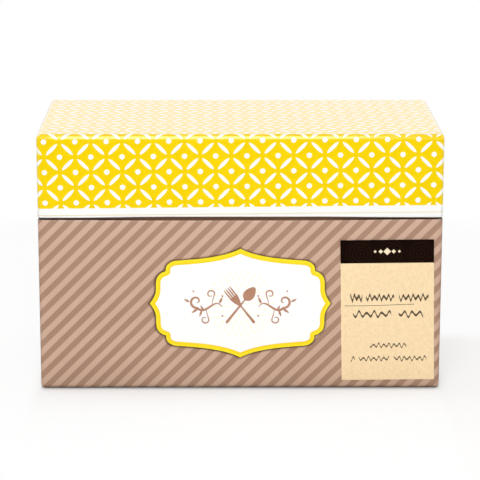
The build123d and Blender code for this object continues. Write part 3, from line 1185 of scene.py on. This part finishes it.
# Each wavy line's left and right end, height, weight, wavelength and swing, in millimetres
label_lines = (
    (-16.6, -11.2, 6.0, 0.5, 1.9, 1.5),
    (-9.6, 3.0, 5.9, 0.5, 2.1, 1.3),
    (5.2, 18.4, 5.8, 0.5, 2.2, 1.4),
    (-19.2, 12.0, 2.4, 0.25, 60.0, 0.4),
    (-15.4, 1.6, -1.8, 0.55, 3.4, 1.5),
    (5.0, 16.0, -1.8, 0.55, 3.4, 1.5),
    (-8.0, 8.4, -16.4, 0.35, 2.3, 1.1),
    (-16.6, -14.8, -22.6, 0.35, 2.0, 1.1),
    (-13.0, 0.6, -22.6, 0.35, 2.3, 1.1),
    (2.8, 17.4, -22.6, 0.35, 2.3, 1.1),
)


def label_stops(length, count):
    """Even stops along a side, with one more close to each end that keeps the edge crisp."""
    inner = [length * (step / count - 0.5) for step in range(1, count)]
    return [-length / 2, -length / 2 + label_edge, *inner, length / 2 - label_edge, length / 2]


label_mesh = bmesh.new()
label_print = label_mesh.loops.layers.uv.new("print")
printed_at = {}
rows = []
for up in label_stops(label_height, 42):
    row = []
    for across in label_stops(label_width, 28):
        near_end = abs(2 * up / label_height)
        ripple = label_ripple * (1 + math.sin(across * ripple_across + up * ripple_up)) * near_end
        corner = abs(2 * across / label_width) ** 6 * near_end**8
        lift = label_lift * corner * (1.0 if across * up < 0 else firm_corner) + ripple
        x = label_centre.x + mm * (across * math.cos(label_rise) - up * math.sin(label_tilt))
        z = label_centre.z + mm * (across * math.sin(label_rise) + up * math.cos(label_tilt))
        row.append(label_mesh.verts.new((x, label_low.y - lift, z)))
        printed_at[row[-1]] = (across, up)
    rows.append(row)
for face in joined(label_mesh, rows, closed=False):
    face.smooth = True
    for loop in face.loops:
        loop[label_print].uv = printed_at[loop.vert]

labels = ("Across", "Up", "Left", "Right", "Height", "Weight")
rule, taken, given = new_group("ruled_line", labels, ("Mask",))
inside = inked(taken["Across"] - taken["Left"]) * inked(taken["Right"] - taken["Across"])
from_line = abs(taken["Up"] - taken["Height"])
feed(given, mask=inside * inked(taken["Weight"] * 0.5 - from_line))

label_paper, tree, shader = shader_tree("label_paper")
across, up = printed_place(tree)
grain = grained(tree, 0.5, 1.6)
kraft = mixed(ramped(grain["Tone"], *kraft_band), kraft_dark, kraft_light)
kraft = flecked(tree, kraft, kraft_fleck, 620.0, (0.16, 0.04))
lines = []
for left, right, level, weight, period, swing in label_lines:
    wave = (across * (2 * math.pi / period)).maths("SINE")
    drift = (across * (drift_rate / period)).maths("SINE")
    wave = wave * (drift * (drift_share * swing) + (1 - drift_share) * swing)
    steepness = math.sqrt(1 + (steepest * swing / period) ** 2)
    line = {"left": left, "right": right, "height": level, "weight": weight * steepness}
    lines.append(placed(tree, rule, across=across, up=up - wave, **line)["Mask"])
colour = mixed(most(*lines) * line_strength, kraft, rule_ink)
above = up - (label_height - label_band) / 2
rings = []
for middle in band_rings:
    radius = distance(across - middle, above + ring_drop)
    ring = ramped((radius * ring_rate).maths("SINE"), *ring_edge)
    rings.append(ring * ramped(radius, *ring_reach))
diamonds = [inked(size - (abs(across - middle) + abs(above))) for middle, size in band_diamonds]
band = mixed(most(*rings), band_brown, ring_brown)
band = mixed(most(*diamonds), band, diamond_cream)
colour = mixed(inked(above + label_band / 2), colour, band)
paper_finish(shader, colour, grain, roughness=0.72, swing=0.05, gloss=0.05)
front_label = shown("kraft_label", label_mesh, label_paper, thickness=label_sheet_thickness)
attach(front_label, "base")
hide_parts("front_label")

# Dividers: eight tabbed cards cut from one die, each with its tab one step further along.
# They lean back together inside the box. Tabs are printed yellow and brown in turn.
divider_count = 8
divider_sizes = {
    "Width": 158.0 * mm,
    "Height": 98.0 * mm,
    "Thickness": 0.5 * mm,
    "Corner radius": 3.0 * mm,
    "Tab width": 30.0 * mm,
    "Tab height": 9.0 * mm,
    "Tab flare": 2.5 * mm,
    "Tab radius": 2.0 * mm,
    "Lean": math.radians(4.0),
}
small_radius = 0.6 * mm
tab_margin = 5.0 * mm
header_height = 5.0
first_rule = 16.0
rule_spacing = 9.0
rule_count = 9
rule_end = 70.0
rule_weight = 0.25
rule_strength = 0.8
card_cream = ink(251, 247, 234)
card_rule = ink(206, 176, 152)

labels = ("Geometry", "Finish", *divider_sizes, "Tab centre", "Foot", "Floor")
divider_tree, size, given = new_group("tabbed_divider", labels, ("Geometry",), "Geometry")


def per_corner(data_type, values):
    """A place or a number for each corner of the die."""
    switch = worked(None, "IndexSwitch", {"data_type": data_type}).node
    while len(switch.index_switch_items) < len(values):
        switch.index_switch_items.new()
    for socket, value in zip(switch.inputs, (worked(None, "InputIndex"), *values)):
        plug(value, socket)
    return Signal(switch.outputs[0])


def worked(geometry, kind, settings=(), **inputs):
    """What a Geometry node makes of a geometry, once set up and with its inputs fed by name."""
    made = wire(divider_tree, kind, geometry, family="GeometryNode", **dict(settings))
    feed(made.node, **inputs)
    return made


def place_at(x, y, z):
    """A place put together from its three parts."""
    return wire(divider_tree, "CombineXYZ", x, y, z)


half_width = size["Width"] * 0.5
tab_right = size["Tab centre"] + size["Tab width"] * 0.5
tab_left = size["Tab centre"] - size["Tab width"] * 0.5
tab_top = size["Height"] + size["Tab height"]
outline = (
    (half_width * -1.0, 0.0, small_radius),
    (half_width, 0.0, small_radius),
    (half_width, size["Height"], size["Corner radius"]),
    (tab_right + size["Tab flare"], size["Height"], small_radius),
    (tab_right, tab_top, size["Tab radius"]),
    (tab_left, tab_top, size["Tab radius"]),
    (tab_left - size["Tab flare"], size["Height"], small_radius),
    (half_width * -1.0, size["Height"], size["Corner radius"]),
)
corner_place = per_corner("VECTOR", [place_at(x, 0.0, z) for x, z, _ in outline])
corner_radius = per_corner("FLOAT", [radius for _, _, radius in outline])
die = worked(len(outline), "MeshLine")
die = worked(die, "SetPosition", position=corner_place)
die = worked(die, "MeshToCurve")
die = worked(die, "SetSplineCyclic", cyclic=True)
die = worked(die, "FilletCurve", {"mode": "POLY"}, count=6, radius=corner_radius)
die = worked(die, "Transform", rotation=(-quarter_turn, 0.0, 0.0))
blank = worked(die, "FillCurve", {"mode": "NGONS"})
printed = worked(
    blank,
    "StoreNamedAttribute",
    {"data_type": "FLOAT_VECTOR", "domain": "POINT"},
    name="card_place",
    value=worked(None, "InputPosition"),
)
body = worked(printed, "ExtrudeMesh", offset_scale=size["Thickness"], individual=False)
body = worked(body, "JoinGeometry")
plug(worked(printed, "FlipFaces"), body.node.inputs[0])
body = worked(body, "MergeByDistance", distance=0.01 * mm)
half_down = place_at(0.0, 0.0, size["Thickness"] * -0.5)
body = worked(body, "Transform", translation=half_down)
upright = place_at(quarter_turn - size["Lean"], 0.0, 0.0)
foot = place_at(0.0, size["Foot"], size["Floor"])
body = worked(body, "Transform", rotation=upright, translation=foot)
body = worked(body, "RealizeInstances")
body = worked(body, "SetMaterial", material=size["Finish"])
feed(given, geometry=body)


def divider_card(name, tab_colour):
    """Printed card: a coloured tab and header over cream, with pale rules below."""
    made, tree, shader = shader_tree(name)
    across, up, _ = [part * (1 / mm) for part in parts(carried(tree, "card_place", "Vector"))]
    top = divider_sizes["Height"] / mm
    colour = mixed(inked(up - (top - header_height)), card_cream, tab_colour)
    lines = []
    for number in range(rule_count):
        line = {"left": -rule_end, "right": rule_end, "weight": rule_weight}
        line["height"] = top - first_rule - rule_spacing * number
        lines.append(placed(tree, rule, across=across, up=up, **line)["Mask"])
    colour = mixed(most(*lines) * rule_strength, colour, card_rule)
    grain = grained(tree, 0.35, 12.0)
    paper_finish(shader, colour, grain, roughness=0.6, swing=0.04, bump=0.3)
    return made


divider_finishes = (
    divider_card("divider_card_yellow", ink(250, 218, 70)),
    divider_card("divider_card_brown", ink(196, 158, 134)),
)
tab_reach = (divider_sizes["Width"] - divider_sizes["Tab width"]) / 2
tab_reach -= tab_margin + divider_sizes["Tab flare"]
half_thickness = divider_sizes["Thickness"] / 2
for number in range(1, divider_count + 1):
    node = f"divider_{number}"
    low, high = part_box(node)
    own_sizes = {
        "Tab centre": tab_reach * (2 * (number - 1) / (divider_count - 1) - 1),
        "Foot": low.y + half_thickness * math.cos(divider_sizes["Lean"]),
        "Floor": low.z + half_thickness * math.sin(divider_sizes["Lean"]),
        "Finish": divider_finishes[number % 2],
    }
    sizes = divider_sizes | own_sizes
    seed = shown(f"{node}_seed", bmesh.new())
    maker = seed.modifiers.new("divider", "NODES")
    maker.node_group = divider_tree
    for item in divider_tree.interface.items_tree:
        if item.in_out == "INPUT" and item.name in sizes:
            maker[item.identifier] = sizes[item.name]
    seed.update_tag()
    depsgraph = bpy.context.evaluated_depsgraph_get()
    mesh = bpy.data.meshes.new_from_object(seed.evaluated_get(depsgraph), depsgraph=depsgraph)
    bpy.data.objects.remove(seed)
    mesh.name = f"tabbed_{node}"
    card = bpy.data.objects.new(f"tabbed_{node}", mesh)
    bpy.context.scene.collection.objects.link(card)
    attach(card, node)
    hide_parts(node)
